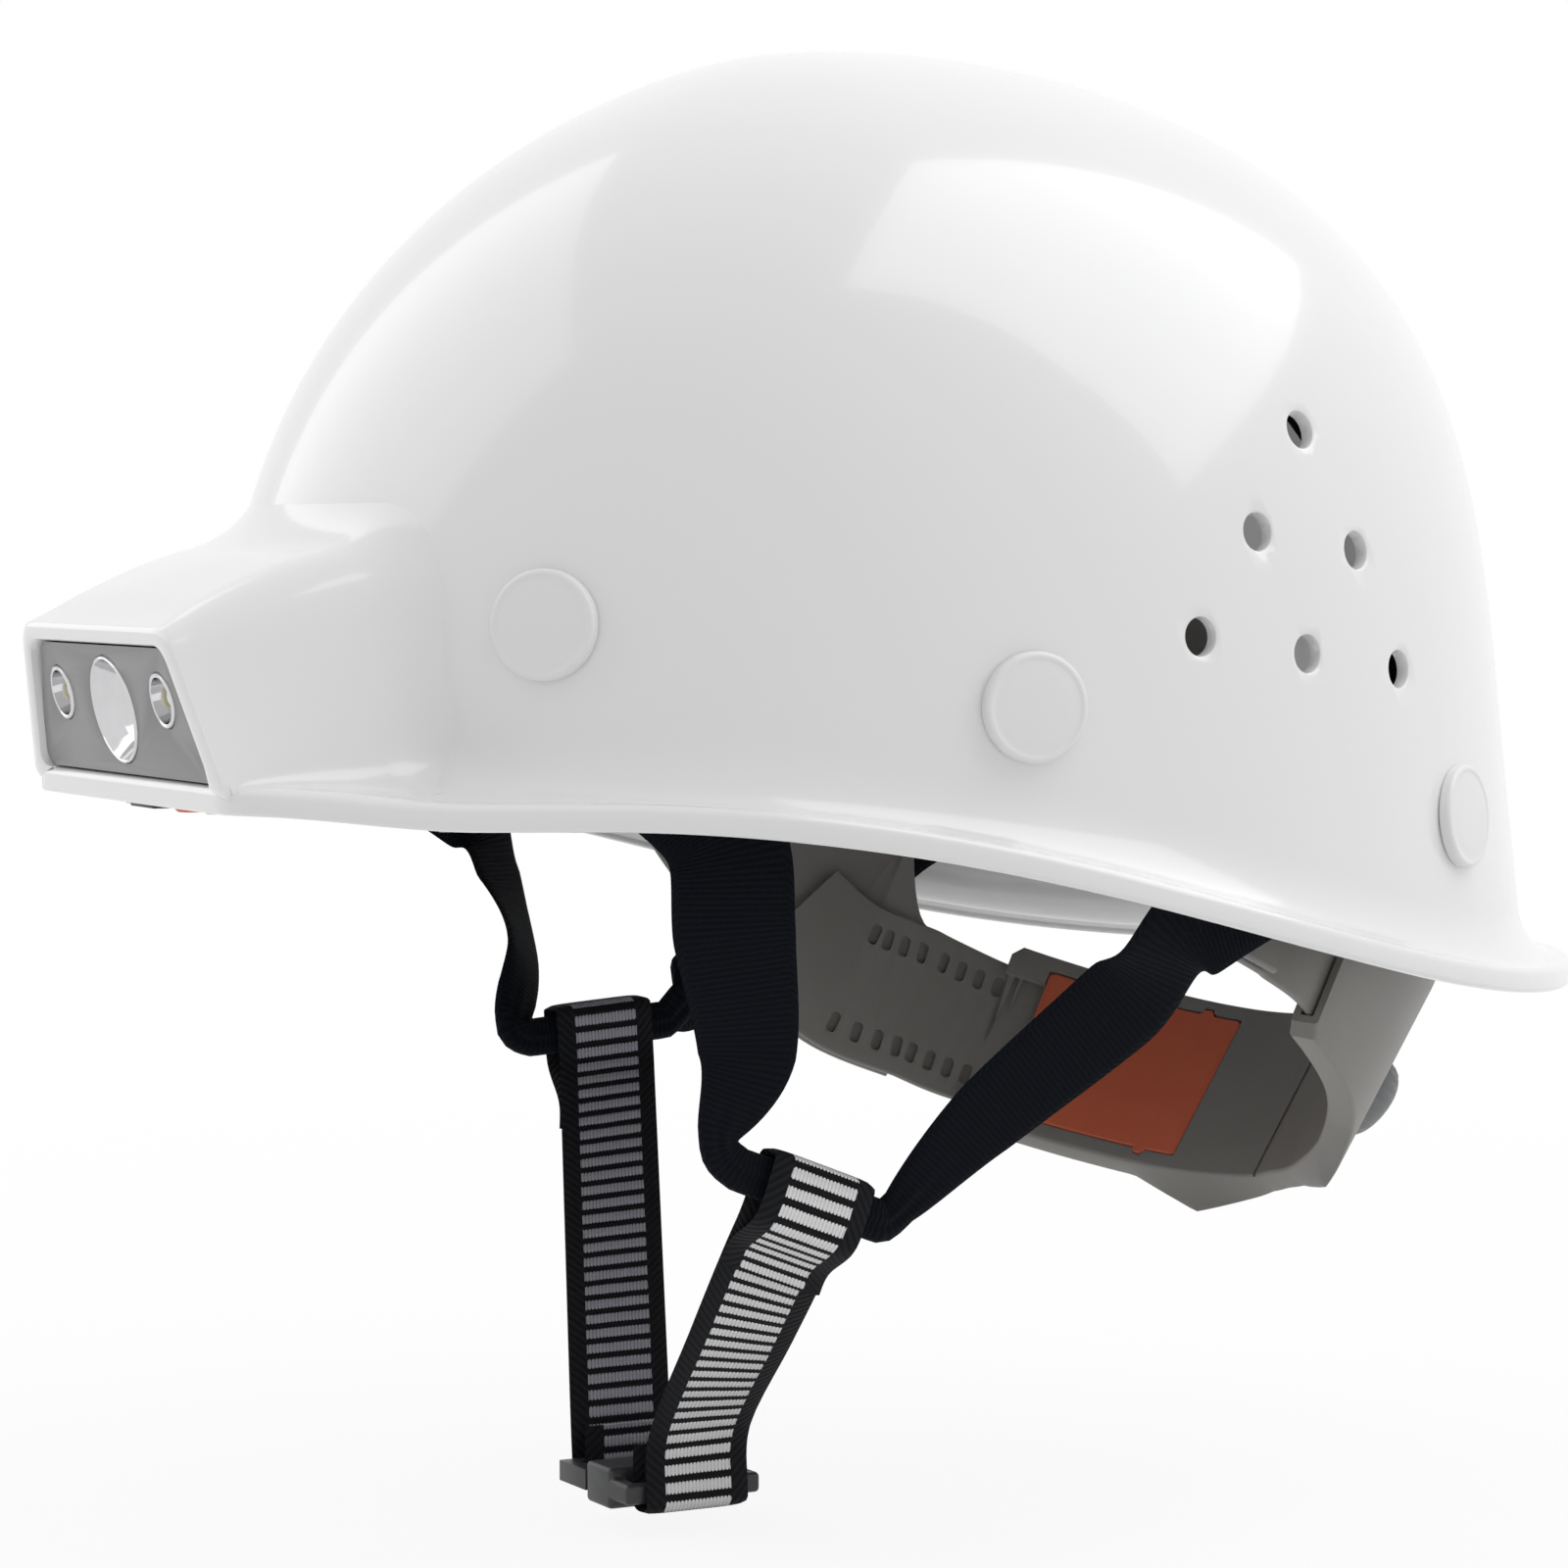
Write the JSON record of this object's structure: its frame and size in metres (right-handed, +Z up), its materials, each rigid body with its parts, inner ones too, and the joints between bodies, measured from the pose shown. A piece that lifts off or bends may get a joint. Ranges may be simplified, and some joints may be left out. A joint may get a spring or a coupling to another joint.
{
  "type": "safety helmet",
  "caption": "White vented safety helmet with a lamp in its peak, webbing cradle, tilting headband with a nape adjuster, and a four-point chin harness with a snap buckle.",
  "frame": {"origin": "centre of the head opening, level with the brim at the temples", "axes": "+X to the wearer's left, -Y to the front, +Z up towards the crown"},
  "size_m": [0.2276, 0.3152, 0.2823],
  "materials": {
    "white_shell": "glossy moulded white",
    "white_cap": "satin moulded white",
    "grey_plastic": "matt moulded warm grey",
    "grey_panel": "satin grey",
    "orange_plastic": "satin orange",
    "black_plastic": "satin black",
    "black_webbing": "woven black",
    "barred_webbing": "woven black with pale cross bars",
    "black_foam": "soft black fabric over foam",
    "chrome": "mirror plated",
    "steel": "plain steel",
    "led": "clear yellow resin",
    "green_board": "green lacquer",
    "blue_wrap": "blue film"
  },
  "bodies": {
    "helmet": {"battery": "blue_wrap", "buckle_socket": "black_plastic", "cap_left_front": "white_cap", "cap_left_middle": "white_cap", "cap_left_rear": "white_cap", "cap_right_front": "white_cap", "cap_right_middle": "white_cap", "cap_right_rear": "white_cap", "charge_socket": "steel", "chin_strap_left": "barred_webbing", "chin_strap_right": "barred_webbing", "crown_pad": "black_foam", "crown_strap_across": "black_webbing", "crown_strap_slant_left": "black_webbing", "crown_strap_slant_right": "black_webbing", "drop_strap_left_front": "black_webbing", "drop_strap_left_middle": "black_webbing", "drop_strap_right_front": "black_webbing", "drop_strap_right_middle": "black_webbing", "hanger_left_front": "grey_plastic", "hanger_left_middle": "grey_plastic", "hanger_left_rear": "grey_plastic", "hanger_right_front": "grey_plastic", "hanger_right_middle": "grey_plastic", "hanger_right_rear": "grey_plastic", "lamp_panel": "grey_panel", "led_board": "green_board", "leg_strap_left": "black_webbing", "leg_strap_right": "black_webbing", "main_led": "led", "main_reflector": "chrome", "plate_screw_left": "steel", "plate_screw_right": "steel", "shell": "white_shell", "side_led_left": "led", "side_led_right": "led", "side_reflector_left": "chrome", "side_reflector_right": "chrome", "switch_plate": "black_plastic"},
    "headband": {"headband": "grey_plastic", "sweatband": "black_foam", "size_tail_left": "grey_plastic", "size_tail_right": "grey_plastic"},
    "nape": {"nape_sleeve": "grey_plastic"},
    "key": {"lock_key": "orange_plastic"},
    "knob": {"nape_knob": "grey_plastic"},
    "prong": {"buckle_prong": "black_plastic"},
    "button": {"switch_button": "orange_plastic"},
    "flap": {"port_flap": "black_plastic"}
  },
  "joints": [
    {"name": "headband_tilt", "type": "hinge", "parent": "helmet", "child": "headband", "pos_m": [0, 0, 0], "axis": [0, 1, 0], "range_deg": [0, 17], "deforming": ["drop_strap_left_front", "drop_strap_left_middle", "drop_strap_right_front", "drop_strap_right_middle"]},
    {"name": "sleeve_slide", "type": "slide", "parent": "headband", "child": "nape", "axis": [0, -1, 0], "range_m": [0, 0.012], "deforming": ["size_tail_left", "size_tail_right"]},
    {"name": "knob_turn", "type": "hinge", "parent": "nape", "child": "knob", "pos_m": [0.01315, 0.11142, -0.05698], "axis": [0.1416, 0.7771, -0.6132], "range_deg": [0, 270]},
    {"name": "key_swing", "type": "hinge", "parent": "nape", "child": "key", "pos_m": [-0.01639, 0.09617, -0.05986], "axis": [-0.1949, 0.6204, 0.7597], "range_deg": [0, 35]},
    {"name": "buckle_release", "type": "slide", "parent": "helmet", "child": "prong", "axis": [-1, 0, 0], "range_m": [0, 0.014], "deforming": ["chin_strap_right"]},
    {"name": "switch_press", "type": "slide", "parent": "helmet", "child": "button", "axis": [0, 0, 1], "range_m": [0, 0.001], "stiffness_N_per_m": 500},
    {"name": "flap_swing", "type": "hinge", "parent": "helmet", "child": "flap", "pos_m": [-0.008, -0.1386, 0.0081], "axis": [1, 0, 0], "range_deg": [0, 100]}
  ],
  "couplings": [
    {"joint": "knob_turn", "follows": "sleeve_slide", "rad_per_m": 392.69}
  ]
}
